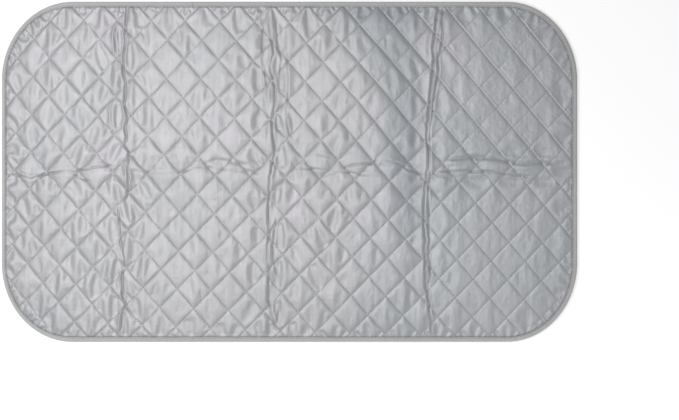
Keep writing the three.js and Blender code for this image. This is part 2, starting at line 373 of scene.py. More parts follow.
# The creases that the pad was stored on. A strand is a line of points, and its depth and half width.
# Across a fold, each point is (place along the fold, distance beside it), in millimetres.
LEFT_STRANDS = [
    ([(216, 3), (160, -1), (141, -2), (112, 1), (89, -1), (72, 4), (58, -1), (43, 3), (35, -2), (26, 6),
      (4, 4), (-8, 6), (-30, 4), (-40, -2)], 1.3, 1.4),
    ([(195, -13), (176, -15), (155, -13)], 1.4, 1.2),
    ([(87, -20), (55, -19)], 0.8, 1.2),
    ([(-45, -10), (-62, -9), (-90, -7), (-118, -2), (-130, -1)], 1.1, 1.3),
    ([(-128, -5), (-137, -4), (-165, -3), (-176, 2)], 1.7, 1.3),
    ([(-176, 0), (-190, -4), (-212, -7)], 1.7, 1.3),
]
MIDDLE_STRANDS = [
    ([(212, -2), (180, -1), (158, 5), (141, -1), (110, 6), (88, 6), (68, 1), (47, 4), (29, 6), (9, 2),
      (-10, -1), (-34, -3), (-54, -4), (-76, -3), (-104, -5), (-122, -6)], 0.8, 1.5),
    ([(-122, -4), (-153, -3), (-170, -4), (-191, 2), (-212, 7)], 0.8, 1.5),
    ([(205, -14), (180, -12), (150, -13), (120, -7), (83, -4)], 0.6, 1.6),
    ([(200, 8), (170, 10), (150, 16), (120, 14)], 0.5, 1.6),
    ([(160, 24), (142, 25), (100, 25), (80, 22)], 0.6, 1.5),
    ([(70, 23), (52, 27), (36, 38)], 0.45, 1.5),
    ([(-60, 8), (-95, 3), (-120, 4), (-140, 9)], 0.6, 1.4),
    ([(-165, 13), (-185, 12), (-205, 8)], 0.5, 1.4),
]
RIGHT_STRANDS = [
    ([(217, 11), (204, 8), (187, 7), (163, 3), (151, 5), (136, 3), (121, 2), (99, -1), (84, -3), (68, -4),
      (42, -6), (29, -3), (4, -3), (-12, -8), (-28, -8), (-63, -11), (-87, -8), (-104, -9), (-126, -8),
      (-153, -8), (-172, -3), (-201, 0), (-216, 1)], 1.15, 1.5),
    ([(217, 18), (196, 17), (182, 18), (160, 15), (154, 11), (136, 12), (121, 10), (107, 7), (91, 3),
      (76, 2), (57, -1), (42, -2), (29, -1), (4, 0), (-16, -3), (-36, -4), (-51, -3), (-72, -4), (-95, -2),
      (-107, -4), (-137, 0), (-149, -5), (-170, -3)], 0.9, 1.4),
]
# Along the pad, each point is (distance from the middle to the right, distance to the back).
LONG_STRANDS = [
    ([(-414, -6), (-402, -4), (-381, -10), (-354, -2), (-314, 2), (-271, 8), (-258, 8)], 0.8, 1.4),
    ([(-402, 15), (-398, 0), (-385, -5), (-360, -4)], 0.5, 1.3),
    ([(-354, -2), (-320, -3), (-308, -7), (-293, -13)], 0.5, 1.4),
    ([(-235, 3), (-205, -2), (-161, -2), (-107, 16), (-75, 12), (-45, 6)], 0.35, 2.0),
    ([(-150, 10), (-110, 4), (-70, 2), (-40, -3)], 0.3, 2.0),
    ([(12, 5), (33, 4), (54, 2)], 0.6, 1.3),
    ([(39, 24), (51, 22), (66, 19)], 0.5, 1.4),
    ([(55, -4), (80, 0), (109, -4), (137, -6)], 0.5, 1.3),
    ([(84, 5), (102, 10), (122, 10), (132, 16)], 0.95, 1.4),
    ([(140, 15), (160, 12), (176, 4), (196, -4)], 0.6, 1.5),
    ([(212, 0), (222, -6), (241, -8)], 0.6, 1.3),
    ([(222, 1), (266, 1), (301, -1), (334, -5), (357, -6)], 0.75, 1.5),
    ([(236, 17), (270, 19), (306, 17), (341, 11), (367, 11), (411, 13)], 0.7, 2.6),
]


def strand_relief(along, beside, points, depth, half_width):
    """A crease: a sharp valley along a strand with a low shoulder on both sides, fading at its ends."""
    places = np.array(sorted(points), float) * MM
    depth, half_width = depth * CREASE_DEPTH * MM, CREASE_WIDTH * half_width * MM
    low, high = places[0, 0], places[-1, 0]
    beyond, before = CREASE_FADE
    near = (along > low - beyond) & (along < high + beyond)
    along = along[near]
    off = np.abs(beside[near] - np.interp(along, places[:, 0], places[:, 1])) / half_width
    fade = smooth(low - beyond, low + before, along) * (1 - smooth(high - before, high + beyond, along))
    valley = np.exp(-off ** CREASE_SHARPNESS)
    shoulder = np.exp(-((off - SHOULDER["place"]) / SHOULDER["width"]) ** 2)
    height = np.zeros(near.shape)
    height[near] = fade * depth * (SHOULDER["height"] * shoulder - valley)
    return height


def crease_relief(x, y):
    """All creases: those across the pad wander a little to its sides, and those along it too."""
    wander = CREASE_WANDER * noise(y / WANDER_STEPS[0], x / WANDER_LENGTH, 1)
    height = np.zeros_like(x)
    for fold, strands in zip(FOLD_X, (LEFT_STRANDS, MIDDLE_STRANDS, RIGHT_STRANDS)):
        close = np.abs(x - fold) < NEAR_FOLD
        for strand in strands:
            height[close] += strand_relief(y[close], (x - fold + wander)[close], *strand)
    wander = CREASE_WANDER * noise(x / WANDER_STEPS[1], y / WANDER_LENGTH, 2)
    close = np.abs(y) < NEAR_LONG_FOLD
    for strand in LONG_STRANDS:
        height[close] += strand_relief(x[close], (y + wander)[close], *strand)
    return np.maximum(height, -DEEPEST_CREASE)


# The broad shape: each panel bows up a little between its folds. Each row has the panel's rise, and as
# shares of its length the ridge's place, how much that changes to the back, and the fall beyond it.
PANELS = [(0.8 * MM, 0.45, 0.0, 0.45), (1.0 * MM, 0.5, 0.0, 0.5), (1.7 * MM, 0.70, -0.17, 0.24),
          (1.0 * MM, 0.12, 0.0, 0.8)]
PANEL_ROUNDNESS = 1.2
SLANT_CUTS_FALL = 0.4


def broad_relief(x, y):
    """The panels' bows with their streaks, lower at the pad's edge."""
    ends = [-LENGTH / 2, *FOLD_X, LENGTH / 2]
    across = np.clip(y / BOW_Y, -1, 1)
    height = np.zeros_like(x)
    for low, high, (rise, ridge, slant, fall) in zip(ends, ends[1:], PANELS):
        share = np.clip((x - low) / (high - low), 0, 1)
        ridge = ridge + slant * across
        up = np.sin(np.clip(share / ridge, 0, 1) * math.pi / 2) ** PANEL_ROUNDNESS
        end = np.minimum(ridge + fall * (1 - slant * across / SLANT_CUTS_FALL), 1)
        bow_height = rise * np.minimum(up, 1 - smooth(ridge, end, share))
        height = np.where((x >= low) & (x < high), bow_height, height)
    height *= 1 + BROAD_CHANGE * noise(x / BROAD_PATCH[0] + 3, y / BROAD_PATCH[1], 3)
    wide = noise(x / WIDE_STREAK[0], y / WIDE_STREAK[1] + 7, 3)
    narrow = noise(x / NARROW_STREAK[0] + 9, y / NARROW_STREAK[1], 0)
    from_edge = edge_distance(x, y)
    height += STREAKS * (wide + NARROW_SHARE * narrow + 1) * smooth(0, STREAKS_FROM_EDGE, from_edge)
    return height * (EDGE_SHARE + (1 - EDGE_SHARE) * smooth(0, RISES_WITHIN, from_edge))


CELL_OFFSET = LINE_RANGE + 2
cell_random = random.random((6, 2 * CELL_OFFSET, 2 * CELL_OFFSET))


def chances(rising, falling):
    """Six random numbers of the cell that each point is in."""
    row, column = (np.floor(number).astype(int) + CELL_OFFSET for number in (rising, falling))
    return cell_random[:, row, column]


def zone(name, x, y):
    """How much a zone changes the cloth at each point."""
    most, along, across = ZONES[name]
    for places, value in ((along, x), (across, y)):
        if places:
            most = most * smooth(places[0] * MM, places[1] * MM, value)
    return most


def puckered(x, y):
    """The cloth is gathered most at the left and the back of the edge."""
    return LEAST_PUCKER + (1 - LEAST_PUCKER) * smooth(*PUCKER_PLACES, y - x)


def painted_shade_bands(x, y):
    """Painted shade in the silver coating's colour: a darker band beside the right fold that widens to the
    back, fainter on the right panel, and also along the back edge and at the left end."""
    back = np.clip(y / BOW_Y, -1, BOW_REACH)
    wider = BAND_WIDENS * np.maximum(back, 0) ** 3
    off = np.abs(x - BAND_CENTRE + wider) / (BAND_HALF + wider)
    band = np.exp(-off ** 4) * smooth(*BAND_STARTS, back)
    return np.maximum(band, zone("right_panel_shade", x, y)) + zone("back_edge_shade", x, y) + zone("left_end_shade", x, y)


def quilted_form(x, y):
    """How the padding swells the cloth between its stitch lines, before the cloth wrinkles."""
    numbers = line_numbers(x, y)
    away = [np.abs(number - np.round(number)) * HALF_CELL * 2 for number in numbers]
    in_cell = [number - np.floor(number) - 0.5 for number in numbers]
    chance = chances(*numbers)
    from_tape = np.maximum(edge_distance(x, y) - TAPE_WIDTH, 0)
    at_edge = smooth(0, SWELLS_WITHIN, from_tape)
    corner = zone("corner", x, y)
    pull = (1 - WEAK_RISING * corner, 1)
    steep = [1 - (1 - np.clip(distance / HALF_CELL, 0, 1)) ** PLATEAU for distance in away]
    plateau = math.prod(1 - share * (1 - rise) for share, rise in zip(pull, steep))
    groove = math.prod(1 - share * np.exp(-distance / GROOVE_WIDTH) for share, distance in zip(pull, away))
    groove = groove * (1 - np.exp(-from_tape / GROOVE_WIDTH))
    taut = 1 - zone("past_left_fold", x, y) - zone("past_right_fold", x, y)
    swell = SWELL * (SWELL_LEAST + SWELL_VARIES * chance[4]) * taut
    tilt = TILT * ((chance[3] - 0.5) * in_cell[0] + (chance[5] - 0.5) * in_cell[1]) * taut
    tilt = tilt * (1 - zone("less_tilt", x, y))
    beyond = (numbers[1] - np.round(numbers[1])) * FALLING["spacing"]
    lip = LIP * corner * np.exp(-((beyond - LIP_PLACE) / LIP_WIDTH) ** 2) * at_edge
    rise = GROOVE * groove * (GROOVE_LEAST + GROOVE_IF_TAUT * taut) + (swell + tilt) * plateau * at_edge + lip
    return {"rise": rise, "away": away, "plateau": plateau, "from_tape": from_tape, "numbers": numbers}


def relief(x, y):
    """The cloth's two faces over each point, and what its material reads: the shares of painted shade near a
    seam, deep in a crease and in the darker bands, and of the painted bluer shade on the right."""
    form = quilted_form(x, y)
    from_tape, away = form["from_tape"], form["away"]
    broad = broad_relief(x, y)
    clear = smooth(0, CLEAR_OF_TAPE, from_tape)
    creases = crease_relief(x, y) * clear

    place = edge_place(x, y)
    gather = sum(share * noise_along(place, step, row, 2) for step, row, share in GATHER_STEPS)
    gather *= GATHER * puckered(x, y) * np.exp(-from_tape / GATHER_REACH) * smooth(0, GATHER_START, from_tape)

    lengths = [form["numbers"][1] * FALLING["spacing"], form["numbers"][0] * RISING["spacing"]]
    stitch = sum(np.exp(-distance / DIMPLE_WIDTH) * np.cos(2 * math.pi * length / STITCH_PITCH)
                 for distance, length in zip(away, lengths)) * STITCH_DIMPLE * clear

    bound = 1 - smooth(0, BOUND_REACH, from_tape)
    seam_top = SEAM_TOP + (BOUND_TOP - SEAM_TOP) * bound
    top = seam_top + broad + form["rise"] + creases + gather + stitch
    under = broad + SEAM_UNDER * (1 - form["plateau"] ** UNDER_PLATEAU) * (1 - bound) + BOUND_UNDER * bound
    under = np.maximum(under + np.clip(-CREASE_UNDER * creases, 0, HIGHEST_UNDER), 0)
    # Painted shade beside the seams' grooves, darkest on a stitch line
    painted_seam_shade = np.maximum(*[np.exp(-distance / SEAM_SHADE_WIDTH) for distance in away])
    return {"top": np.maximum(top, under + THINNEST), "under": under, "broad": broad, "folded": creases,
            "seam": painted_seam_shade * smooth(0, 1 * MM, from_tape),
            # Painted shade in the creases' valleys
            "crease": np.clip(-creases / CREASE_SHADE_DEPTH, 0, 1),
            "band_shade": painted_shade_bands(x, y), "painted_blue_shade": zone("painted_blue_shade", x, y) * (1 - zone("less_painted_blue_shade", x, y))}


# The wrinkles of the top cover. Each quilted cell is simulated as a patch of cloth that is a little
# larger than its frame of stitches, and is pressed into that frame over soft padding.

def quilted_cells(shares):
    """The cells that reach inside the binding: their line numbers, and their points at the shares."""
    numbers = np.arange(-LINE_RANGE, LINE_RANGE)
    rising = numbers[:, None, None, None] + shares[None, None, :, None]
    falling = numbers[None, :, None, None] + shares[None, None, None, :]
    rising, falling = np.broadcast_arrays(rising, falling)
    x, y = place_of(rising, falling)
    inside = (edge_distance(x, y) > TAPE_WIDTH).any(axis=(2, 3))
    return np.argwhere(inside), x[inside], y[inside]


def spread_out(x, y, cells):
    """The cloth of each cell before it was gathered: wider, mostly along the pad's length and near the
    folds, and longer along the edge beside the binding."""
    row, column = cells.T - LINE_RANGE + CELL_OFFSET
    chance = cell_random[:, row, column, None, None]
    dx, dy = x - x.mean(axis=(1, 2), keepdims=True), y - y.mean(axis=(1, 2), keepdims=True)
    fold_distance = np.min([np.abs(x - fold) for fold in FOLD_X], axis=0)
    turn = WRINKLE_TURN * (chance[0] + chance[1] - 1)
    quiet = 1 - zone("quiet_panel", x, y) - QUIET_SHARE * np.exp(-((x - QUIET_PLACE) / QUIET_REACH) ** 2)
    quiet = quiet * (1 - WEAK_WRINKLES * zone("corner", x, y))
    spare = SPARE_CLOTH * (SPARE_LEAST + SPARE_VARIES * chance[2] ** 2) * quiet
    at_fold = SPARE_AT_FOLD * (1 - zone("weak_fold", x, y))
    spare = spare + at_fold * np.exp(-fold_distance / SPARE_REACH)
    spare = spare + SPARE_AT_LEFT * zone("wrinkled_end", x, y)
    along = dx * np.cos(turn) + dy * np.sin(turn)
    grown_x, grown_y = x + spare * along * np.cos(turn), y + spare * along * np.sin(turn)
    grown_y = grown_y + SPARE_AT_FOLD * LONG_FOLD_SHARE * np.exp(-np.abs(y) / SPARE_REACH) * dy
    core_x, core_y = core_place(x, y)
    out_x, out_y = x - core_x, y - core_y
    out = np.maximum(np.hypot(out_x, out_y), 1 * MM)
    round_x, round_y = -out_y / out, out_x / out
    from_tape = np.maximum(edge_distance(x, y) - TAPE_WIDTH, 0)
    at_tape = SPARE_AT_TAPE * np.exp(-from_tape / SPARE_TAPE_REACH) * puckered(x, y)
    along_edge = at_tape * (dx * round_x + dy * round_y)
    return grown_x + along_edge * round_x, grown_y + along_edge * round_y


CLOTH_SETTINGS = {"pin_stiffness": 1, "quality": 4, "mass": 0.15, "tension_stiffness": 20,
                  "compression_stiffness": 20, "shear_stiffness": 8, "bending_stiffness": 60,
                  "air_damping": 2}


def wrinkles():
    """Simulates the patches, and gives each one's change of height at the simulation's own shares."""
    shares = np.linspace(0, 1, SIM_STEPS + 1)
    cells, x, y = quilted_cells(shares)
    form = quilted_form(x, y)
    uneven = noise(x / UNEVEN_PATCH[0], y / UNEVEN_PATCH[1], 1)
    uneven = uneven + UNEVEN_GRAIN * random.uniform(-1, 1, x.shape)
    height = form["rise"] + SIM_UNEVENNESS * uneven
    grown_x, grown_y = spread_out(x, y, cells)
    held = np.zeros(x.shape, bool)
    held[:, [0, -1], :] = True
    held[:, :, [0, -1]] = True
    held |= edge_distance(x, y) < TAPE_WIDTH + HELD_BESIDE_TAPE

    index = np.arange(x.size).reshape(x.shape)
    spread_points = np.stack([grown_x, grown_y, height], axis=3).reshape(-1, 3)
    pressed_points = np.stack([x, y, height], axis=3).reshape(-1, 3)
    patch = add_mesh("wrinkle_patches", spread_points, grid_quads(index).reshape(-1, 4))
    patch.shape_key_add(name="spread_out")
    pressed = patch.shape_key_add(name="pressed")
    pressed.data.foreach_set("co", pressed_points.astype(np.float32).ravel())
    for frame_number, value in ((1, 0.0), (PRESS_FRAMES, 1.0)):
        pressed.value = value
        pressed.keyframe_insert("value", frame=frame_number)
    group = patch.vertex_groups.new(name="held")
    group.add(index[held].tolist(), 1.0, "REPLACE")
    group.add(index[~held].tolist(), PADDING_HOLD, "REPLACE")
    cloth = patch.modifiers.new("cloth", "CLOTH")
    settings = cloth.settings
    settings.vertex_group_mass = "held"
    settings.effector_weights.gravity = 0
    for name, value in CLOTH_SETTINGS.items():
        setattr(settings, name, value)
    cloth.collision_settings.use_collision = False
    cloth.collision_settings.use_self_collision = False
    cloth.point_cache.frame_start, cloth.point_cache.frame_end = 1, SIM_FRAMES
    scene = bpy.context.scene
    for frame_number in range(1, SIM_FRAMES + 1):
        scene.frame_set(frame_number)
    result = patch.evaluated_get(bpy.context.evaluated_depsgraph_get())
    points = np.empty(x.size * 3, np.float32)
    result.data.vertices.foreach_get("co", points)
    change = points.reshape(-1, 3)[:, 2].reshape(x.shape) - form["rise"]
    scene.frame_set(1)
    bpy.data.objects.remove(patch)
    change[held] = 0
    return cells, np.clip(change, -WRINKLE_LIMIT, WRINKLE_LIMIT)


def between(shares, count):
    """Weights that carry values at even steps of a cell over to the given shares, as smooth curves."""
    weights = np.zeros((len(shares), count + 1))
    for row, share in enumerate(shares):
        step = min(int(share * count), count - 1)
        t = share * count - step
        curve = (-t + 2 * t ** 2 - t ** 3, 2 - 5 * t ** 2 + 3 * t ** 3,
                 t + 4 * t ** 2 - 3 * t ** 3, t ** 3 - t ** 2)
        for offset, weight in enumerate(curve):
            weights[row, min(max(step + offset - 1, 0), count)] += weight / 2
    return weights


# Meshes

def add_object(name, data):
    added = bpy.data.objects.new(name, data)
    bpy.context.scene.collection.objects.link(added)
    return added


def add_mesh(name, points, faces, normals=None, layers=None):
    """A mesh of quads from arrays, with point attributes that its material reads."""
    mesh = bpy.data.meshes.new(name)
    mesh.vertices.add(len(points))
    mesh.vertices.foreach_set("co", np.ascontiguousarray(points, np.float32).ravel())
    mesh.loops.add(faces.size)
    mesh.loops.foreach_set("vertex_index", np.ascontiguousarray(faces, np.int32).ravel())
    mesh.polygons.add(len(faces))
    mesh.polygons.foreach_set("loop_start", np.arange(0, faces.size, faces.shape[1], dtype=np.int32))
    mesh.update(calc_edges=True)
    mesh.polygons.foreach_set("use_smooth", np.ones(len(faces), bool))
    for layer, values in (layers or {}).items():
        kind = "FLOAT_VECTOR" if values.ndim == 2 else "FLOAT"
        attribute = mesh.attributes.new(layer, kind, "POINT")
        field = "vector" if values.ndim == 2 else "value"
        attribute.data.foreach_set(field, np.ascontiguousarray(values, np.float32).ravel())
    if normals is not None:
        mesh.normals_split_custom_set_from_vertices(normals.tolist())
    return add_object(name, mesh)


def add_flat_map(piece, points, faces):
    """The map that the cloth is baked on: the layer seen from above."""
    low, high = points.min(axis=0)[:2], points.max(axis=0)[:2]
    places = (points[:, :2] - low) / (high - low).max()
    layer = piece.data.uv_layers.new(name="OFBake")
    layer.uv.foreach_set("vector", places[faces.ravel()].astype(np.float32).ravel())


def grid_quads(index):
    """The four corners of each square of a grid, whose rows and columns are the last two axes."""
    corners = [index[..., :-1, :-1], index[..., :-1, 1:], index[..., 1:, 1:], index[..., 1:, :-1]]
    return np.stack(corners, axis=-1)


def tube_quads(low, high):
    """Quads between rings of points, which go round on the last axis."""
    return np.stack([low, np.roll(low, -1, axis=-1), np.roll(high, -1, axis=-1), high], axis=-1)


def end_caps(first, last):
    """Quads that close a tube's first and last ring."""
    caps, sides = [], first.shape[-1]
    for ring, way in ((first, -1), (last, 1)):
        caps += [ring[..., [i, i + 1, sides - 2 - i, sides - 1 - i]][..., ::way].reshape(-1, 4)
                 for i in range(sides // 2 - 1)]
    return caps


def point_normals(points, faces):
    """Smooth normals over the whole layer, so that its pieces meet without a line."""
    a, b, c, d = (points[faces[:, corner]] for corner in range(4))
    face_normal = np.cross(c - a, d - b)
    total = np.zeros_like(points)
    for corner in range(4):
        for axis in range(3):
            total[:, axis] += np.bincount(faces[:, corner], face_normal[:, axis], len(points))
    return total / np.maximum(np.linalg.norm(total, axis=1, keepdims=True), 1e-12)


def only(points, faces, *others):
    """The points that these faces use, the faces renumbered, and the same points of other arrays."""
    used, numbered = np.unique(faces, return_inverse=True)
    return points[used], numbered.reshape(faces.shape), [other[used] for other in others]


def rim_edges(quads):
    """The edges that only one of the quads has, each in its quad's direction."""
    edges = np.concatenate([quads[:, [i, (i + 1) % 4]] for i in range(4)])
    _, first, uses = np.unique(np.sort(edges, axis=1), axis=0, return_index=True, return_counts=True)
    return edges[first[uses == 1]]


def cell_shares(even_rows):
    """Where the rows of points lie across one cell, close together beside its seams."""
    half = HALF_CELL / MM
    near = np.array(NEAR_SEAM)
    even = np.linspace(near[-1], half, even_rows + 1)[1:]
    half_steps = np.concatenate([near, even]) / half / 2
    return np.concatenate([half_steps, 1 - half_steps[-2:0:-1]])


def cloth_grid(even_rows):
    """Points along the stitch lines and between them, cut to the layers' outline, and their quads."""
    steps = cell_shares(even_rows)
    numbers = (np.arange(-LINE_RANGE, LINE_RANGE)[:, None] + steps[None, :]).ravel()
    rising, falling = np.meshgrid(numbers, numbers, indexing="ij")
    x, y = place_of(rising, falling)
    inside = edge_distance(x, y) > LAYER_INSET
    index = np.arange(x.size).reshape(x.shape)
    quads = grid_quads(index)
    quads = quads[inside.ravel()[quads].sum(axis=-1) >= 3]
    flat = np.stack([x.ravel(), y.ravel()], axis=1)
    flat, quads, (place,) = only(flat, quads, index.ravel())
    return snapped(flat, quads), quads, place


def snapped(flat, quads):
    """Moves the points on the rim of the quads onto the layers' outline."""
    rim = np.unique(rim_edges(quads))
    core = np.stack(core_place(*flat[rim].T), axis=1)
    away = flat[rim] - core
    flat[rim] = core + away / np.linalg.norm(away, axis=1, keepdims=True) * (CORNER - LAYER_INSET)
    return flat


PARTS = ("left", "middle", "right")


def part_of(x):
    """The number of the part that a place along the pad is in."""
    return np.digitize(x, SPLITS)


def bend(piece):
    """Bakes a piece's placement into its points; it is not bent at its part's fold."""
    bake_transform(piece)


def nodes_of(layer, part):
    """The CAD nodes of a layer that a part of it stands for."""
    return {0: [f"{layer}_1"], 1: [f"{layer}_2", f"{layer}_3"], 2: [f"{layer}_4"]}[part]


# Materials

# The silver coating: its tints, the painted shade mixed into them (a point attribute or the place beside the
# tape, the share at its full strength, and a colour), the painted bluer shade on the right, and its roughness
SILVER_TINTS = [(0.30, (0.455, 0.468, 0.483)), (0.50, (0.479, 0.477, 0.493)), (0.70, (0.497, 0.484, 0.509))]
PAINTED_SHADES = [("seam", 0.04, (0.20, 0.205, 0.215, 1)), ("crease", 0.38, (0.22, 0.225, 0.235, 1)),
                ("tape", 0.62, (0.16, 0.163, 0.17, 1)), ("band_shade", 0.62, (0.330, 0.350, 0.372, 1))]
# Painted bluer shade: what the base colour is multiplied by on the right
PAINTED_BLUE_SHADE = (0.965, 1.0, 1.012, 1)
SILVER_ROUGHNESS = (0.34, 0.48)
TAPE_SHADE = (2.6 * MM, 0.5 * MM)
WAVES_TO_PITCH = 0.314


class Shader:
    """A material in the making. Its methods add nodes, and each gives its node's output."""

    def __init__(self, name):
        self.material = bpy.data.materials.new(name)
        self.material.use_nodes = True
        self.nodes = self.material.node_tree.nodes
        self.surface = self.nodes["Principled BSDF"]

    def fill(self, node, inputs):
        """Sets a node's inputs, each to a plain value or to another node's output."""
        for name, value in inputs.items():
            if isinstance(value, bpy.types.NodeSocket):
                self.material.node_tree.links.new(value, node.inputs[name])
            else:
                node.inputs[name].default_value = value

    def add(self, kind, output, inputs, **settings):
        node = self.nodes.new("ShaderNode" + kind)
        for name, value in settings.items():
            setattr(node, name, value)
        self.fill(node, inputs)
        return node.outputs[output]

    def attribute(self, name, output="Fac"):
        return self.add("Attribute", output, {}, attribute_name=name)

    def stretched(self, place, scale):
        return self.add("Mapping", "Vector", {"Vector": place, "Scale": scale})

    def noise(self, place, scale, detail, roughness=0.5):
        inputs = {"Vector": place, "Scale": scale, "Detail": detail, "Roughness": roughness}
        return self.add("TexNoise", "Fac", inputs)

    def ramp(self, share, stops):
        """Colours at the shares of the stops, and between them."""
        color = self.add("ValToRGB", "Color", {"Fac": share})
        elements = color.node.color_ramp.elements
        while len(elements) < len(stops):
            elements.new(0.5)
        for element, (position, stop_color) in zip(elements, stops):
            element.position = position
            element.color = (*stop_color, 1)
        return color

    def mixed(self, kind, share, first, second):
        inputs = {0: share, 6: first, 7: second}
        return self.add("Mix", 2, inputs, data_type="RGBA", blend_type=kind)

    def maths(self, operation, first, second):
        return self.add("Math", 0, {0: first, 1: second}, operation=operation)

    def bump(self, height, distance, strength, **more):
        inputs = {"Height": height, "Distance": distance, "Strength": strength, **more}
        return self.add("Bump", "Normal", inputs)

    def weave(self, place, pitch):
        """A plain weave: threads over and under each other, two pitches to a wave."""
        inputs = {"Vector": place, "Scale": WAVES_TO_PITCH / pitch, "Distortion": 0.6, "Detail": 1.0}
        waves = [self.add("TexWave", "Fac", inputs, bands_direction=way) for way in "XY"]
        return self.maths("MULTIPLY", *waves)


def tape_shadow_share(cloth, place):
    """Painted shadow of the binding tape: 1 at its inner edge and under it, and 0 a little way beside it."""
    for operation, second in (("ABSOLUTE", {}), ("SUBTRACT", {1: (CORE_X, CORE_Y, 0)}),
                              ("MAXIMUM", {1: (0, 0, 0)}), ("LENGTH", {})):
        output = "Value" if operation == "LENGTH" else "Vector"
        place = cloth.add("VectorMath", output, {0: place, **second}, operation=operation)
    clear, dark = (CORNER - TAPE_WIDTH - away for away in TAPE_SHADE)
    return cloth.add("MapRange", "Result", {"Value": place, "From Min": clear, "From Max": dark})


def silver_cloth():
    """Silver-coated cloth: satin, with a fine weave, warp streaks, faint tints, and painted shade and bluer
    shade.
    """
    cloth = Shader("silver_cloth")
    place = cloth.attribute("rest", "Vector")
    tints = cloth.ramp(cloth.noise(place, 9, 3), SILVER_TINTS)
    streak = cloth.noise(cloth.stretched(place, (150, 11, 1)), 1, 3, 0.6)
    streaks = cloth.ramp(streak, [(0.25, (0.90,) * 3), (0.75, (1.06,) * 3)])
    color = cloth.mixed("MULTIPLY", 1.0, tints, streaks)
    # Painted shade: darker colours mixed in at the seams, in the creases, beside the tape and in the darker
    # bands
    for name, most, shade_color in PAINTED_SHADES:
        where = tape_shadow_share(cloth, place) if name == "tape" else cloth.attribute(name)
        color = cloth.mixed("MIX", cloth.maths("MULTIPLY", where, most), color, shade_color)
    low, high = SILVER_ROUGHNESS
    uneven = {"Value": cloth.noise(place, 60, 2), "To Min": low, "To Max": high}
    fine = cloth.bump(cloth.weave(place, 0.5 * MM), 0.06 * MM, 0.5)
    ripple = cloth.noise(cloth.stretched(place, (420, 60, 1)), 1, 3, 0.6)
    # The base colour also gets the painted bluer shade on the right
    cloth.fill(cloth.surface, {
        "Base Color": cloth.mixed("MULTIPLY", cloth.attribute("painted_blue_shade"), color, PAINTED_BLUE_SHADE),
        "Roughness": cloth.add("MapRange", "Result", uneven), "Metallic": 0.32, "Sheen Weight": 0.08,
        "Normal": cloth.bump(ripple, 0.25 * MM, 0.5, Normal=fine)})
    return cloth.material


def plain_cloth(name, dark, light, pitch, roughness, sheen):
    """A dull woven or fibrous cloth of one colour, with a weave of the given pitch."""
    cloth = Shader(name)
    place = cloth.attribute("rest", "Vector")
    color = cloth.ramp(cloth.noise(place, 35, 4, 0.6), [(0.3, dark), (0.7, light)])
    weave = cloth.weave(place, pitch)
    shade = cloth.ramp(weave, [(0.0, (0.86,) * 3), (0.8, (1.05,) * 3)])
    cloth.fill(cloth.surface, {
        "Base Color": cloth.mixed("MULTIPLY", 1.0, color, shade), "Roughness": roughness,
        "Sheen Weight": sheen, "Normal": cloth.bump(weave, 0.12 * MM, 0.8)})
    return cloth.material


# The material of each slot in the record
MATERIAL_OF = {
    "top_cover": silver_cloth(),
    "backing": plain_cloth("backing_cloth", (0.36, 0.365, 0.375), (0.41, 0.415, 0.425), 0.7 * MM, 0.85, 0.2),
    "batting": plain_cloth("white_batting", (0.76, 0.76, 0.73), (0.84, 0.84, 0.81), 1.1 * MM, 0.95, 0.3),
    "binding_tape": plain_cloth("woven_tape", (0.58, 0.58, 0.59), (0.64, 0.64, 0.65), 0.55 * MM, 0.6, 0.25),
    "thread": plain_cloth("sewing_thread", (0.40, 0.40, 0.41), (0.46, 0.46, 0.47), 0.35 * MM, 0.6, 0.2),
}


# The layers

pieces = []


def add_piece(name, slot, part, points, faces, layers, covered=(), normals=None):
    """Adds a piece in its slot's material, hides the CAD nodes that it stands for, and keeps it with its
    part.
    """
    piece = add_mesh(name, points, faces, normals, layers)
    piece.data.materials.append(MATERIAL_OF[slot])
    if covered:
        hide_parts(*covered)
    pieces.append((piece, part))
    return piece


def rest_layer(points):
    """Where each point is before it bends, seen from above."""
    return np.column_stack([points[:, 0], points[:, 1], np.zeros(len(points))])


def wrinkle_heights(even_rows, place):
    """The simulated change of height at the points of a cloth grid."""
    cells, changes = wrinkles()
    shares = cell_shares(even_rows)
    weights = between(shares, SIM_STEPS)
    count = len(shares)
    heights = np.zeros((2 * LINE_RANGE, count, 2 * LINE_RANGE, count))
    for (row, column), change in zip(cells, changes):
        heights[row, :, column, :] = weights @ change @ weights.T
    return heights.ravel()[place]


def add_cloth(name, flat, quads, heights, upwards, layers):
    """A cloth layer in three pieces that meet inside the middle panels."""
    points = np.column_stack([flat, heights])
    layers = {"rest": rest_layer(points), **layers}
    if not upwards:
        quads = quads[:, ::-1]
    normals = point_normals(points, quads)
    part = part_of(points[quads].mean(axis=1)[:, 0])
    for number, side in enumerate(PARTS):
        own, faces, kept = only(points, quads[part == number], normals, *layers.values())
        piece = add_piece(f"{name}_{side}", name, number, own, faces, dict(zip(layers, kept[1:])),
                          nodes_of(name, number), kept[0])
        add_flat_map(piece, own, faces)


def add_cover():
    flat, quads, place = cloth_grid(COVER_ROWS)
    shape = relief(*flat.T)
    top = np.clip(shape["top"] + wrinkle_heights(COVER_ROWS, place), shape["under"] + THINNEST, HIGHEST)
    # The cover's points carry their shares of painted shade to its material
    add_cloth("top_cover", flat, quads, top, True,
              {name: shape[name] for name in ("seam", "crease", "band_shade", "painted_blue_shade")})


def add_backing():
    flat, quads, _ = cloth_grid(BACKING_ROWS)
    add_cloth("backing", flat, quads, relief(*flat.T)["under"], False, {})


